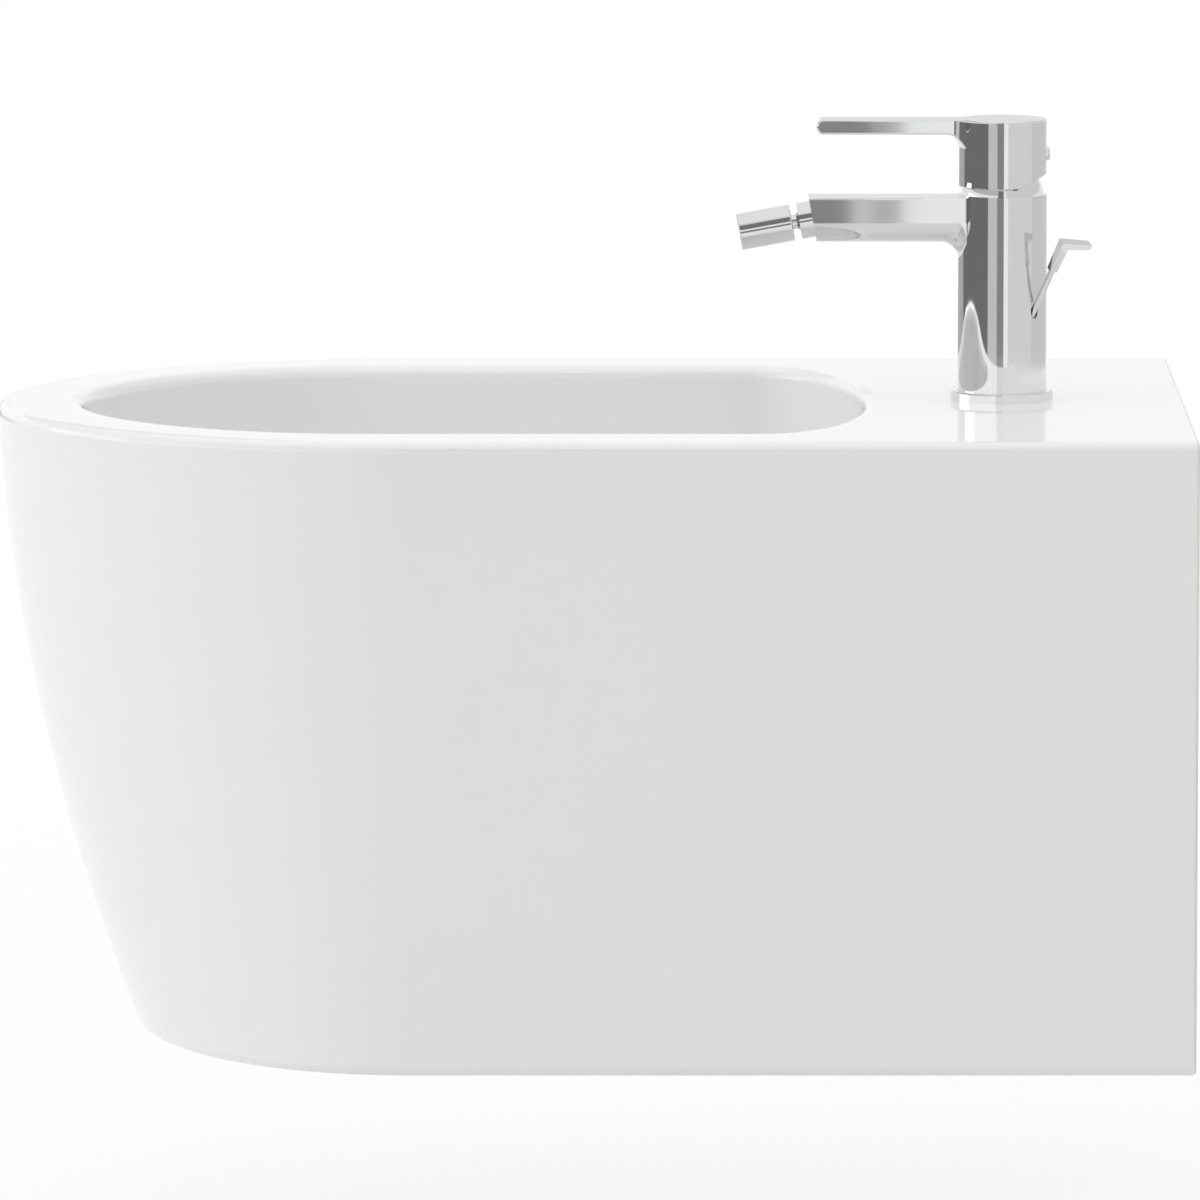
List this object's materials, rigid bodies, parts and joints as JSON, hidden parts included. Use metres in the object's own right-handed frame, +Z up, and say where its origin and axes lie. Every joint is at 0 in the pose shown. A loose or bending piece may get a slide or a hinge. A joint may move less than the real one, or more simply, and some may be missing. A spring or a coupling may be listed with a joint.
{
  "type": "wall-hung bidet",
  "caption": "Wall-hung ceramic bidet with an oval basin, a chrome single-lever tap with a swivel spray nozzle, and a pop-up waste worked by a lift rod behind the tap.",
  "frame": {"origin": "on the wall plane, midway between the two wall bolt holes", "axes": "+Y points into the wall, so the front of the bowl is towards -Y; +X is the user's right when facing the tap; +Z is up"},
  "size_m": [0.37, 0.5697, 0.4353],
  "materials": {
    "glaze": "white glazed vitreous china",
    "chrome": "polished chrome plate",
    "brass": "turned brass",
    "steel": "stainless steel",
    "disc": "lapped white ceramic",
    "black_rubber": "black rubber",
    "grey_plastic": "moulded grey plastic",
    "white_plastic": "moulded white plastic",
    "dark_plastic": "moulded black plastic"
  },
  "bodies": {
    "fixed": {"ceramic_rim": "glaze", "ceramic_bowl": "glaze", "ceramic_skirt": "glaze", "wall_sleeves": "white_plastic", "tap_body": "chrome", "base_ring": "chrome", "base_seal": "black_rubber", "fixing_stud": "brass", "fixing_gasket": "black_rubber", "fixing_plate": "steel", "fixing_nut": "brass", "cartridge_base": "white_plastic", "cartridge_seals": "black_rubber", "fixed_disc": "disc", "cartridge_housing": "grey_plastic", "cartridge_o_ring": "black_rubber", "cartridge_nut": "brass", "dome_cover": "chrome", "spout_collar": "chrome", "collar_seal": "black_rubber", "rod_bush": "white_plastic", "ball_seals": "white_plastic", "ball_nut": "dark_plastic", "waste_flange": "chrome", "flange_seal": "black_rubber", "lower_seal": "black_rubber", "waste_washer": "white_plastic", "waste_nut": "brass", "waste_body": "chrome", "tail_seal": "black_rubber", "tail_nut": "chrome", "tailpiece": "chrome"},
    "turret": {"turret": "white_plastic", "pivot_pin": "steel"},
    "lever": {"lever_stem": "steel", "lever_handle": "chrome", "grub_screw": "steel", "screw_cover": "chrome"},
    "disc": {"moving_disc": "disc", "disc_carrier": "grey_plastic"},
    "liner": {"ball_liner": "white_plastic"},
    "nozzle": {"swivel_ball": "chrome", "nozzle_shell": "chrome", "nozzle_seal": "black_rubber", "aerator": "grey_plastic"},
    "puller": {"pull_handle": "chrome", "pull_rod": "chrome", "yoke_pin": "steel"},
    "lifter": {"lift_rod": "steel", "clevis_strap": "steel", "clevis_screw": "brass"},
    "rocker": {"ball_rod": "steel", "spring_clip": "steel"},
    "plug": {"plug_cap": "chrome", "plug_seal": "black_rubber", "plug_stem": "dark_plastic"}
  },
  "joints": [
    {"name": "lever_swivel", "type": "hinge", "parent": "fixed", "child": "turret", "pos_m": [0, -0.087, 0.1856], "axis": [0, 0, 1], "range_deg": [-45, 45]},
    {"name": "lever_tilt", "type": "hinge", "parent": "turret", "child": "lever", "pos_m": [0, -0.087, 0.1856], "axis": [-1, 0, 0], "range_deg": [0, 24]},
    {"name": "disc_slide", "type": "slide", "parent": "turret", "child": "disc", "axis": [0, -1, 0], "range_m": [0, 0.0077]},
    {"name": "nozzle_yaw", "type": "hinge", "parent": "fixed", "child": "liner", "pos_m": [0, -0.18066, 0.17655], "axis": [0, -0.1805, 0.9836], "range_deg": [-12, 12]},
    {"name": "nozzle_pitch", "type": "hinge", "parent": "liner", "child": "nozzle", "pos_m": [0, -0.18066, 0.17655], "axis": [1, 0, 0], "range_deg": [-12, 12]},
    {"name": "rod_pull", "type": "slide", "parent": "fixed", "child": "puller", "axis": [0.3536, 0.3536, 0.866], "range_m": [0, 0.025]},
    {"name": "yoke_lift", "type": "slide", "parent": "fixed", "child": "lifter", "axis": [0, 0, 1], "range_m": [0, 0.02166]},
    {"name": "ball_rock", "type": "hinge", "parent": "fixed", "child": "rocker", "pos_m": [0, -0.222, -0.1118], "axis": [1, 0, 0], "range_deg": [0, 9.66]},
    {"name": "plug_drop", "type": "slide", "parent": "fixed", "child": "plug", "axis": [0, 0, -1], "range_m": [0, 0.00473]}
  ],
  "couplings": [
    {"joint": "disc_slide", "follows": "lever_tilt", "m_per_rad": 0.018365},
    {"joint": "yoke_lift", "follows": "rod_pull", "ratio": 0.86603},
    {"joint": "ball_rock", "follows": "rod_pull", "rad_per_m": 6.7398},
    {"joint": "plug_drop", "follows": "rod_pull", "ratio": 0.18871}
  ]
}
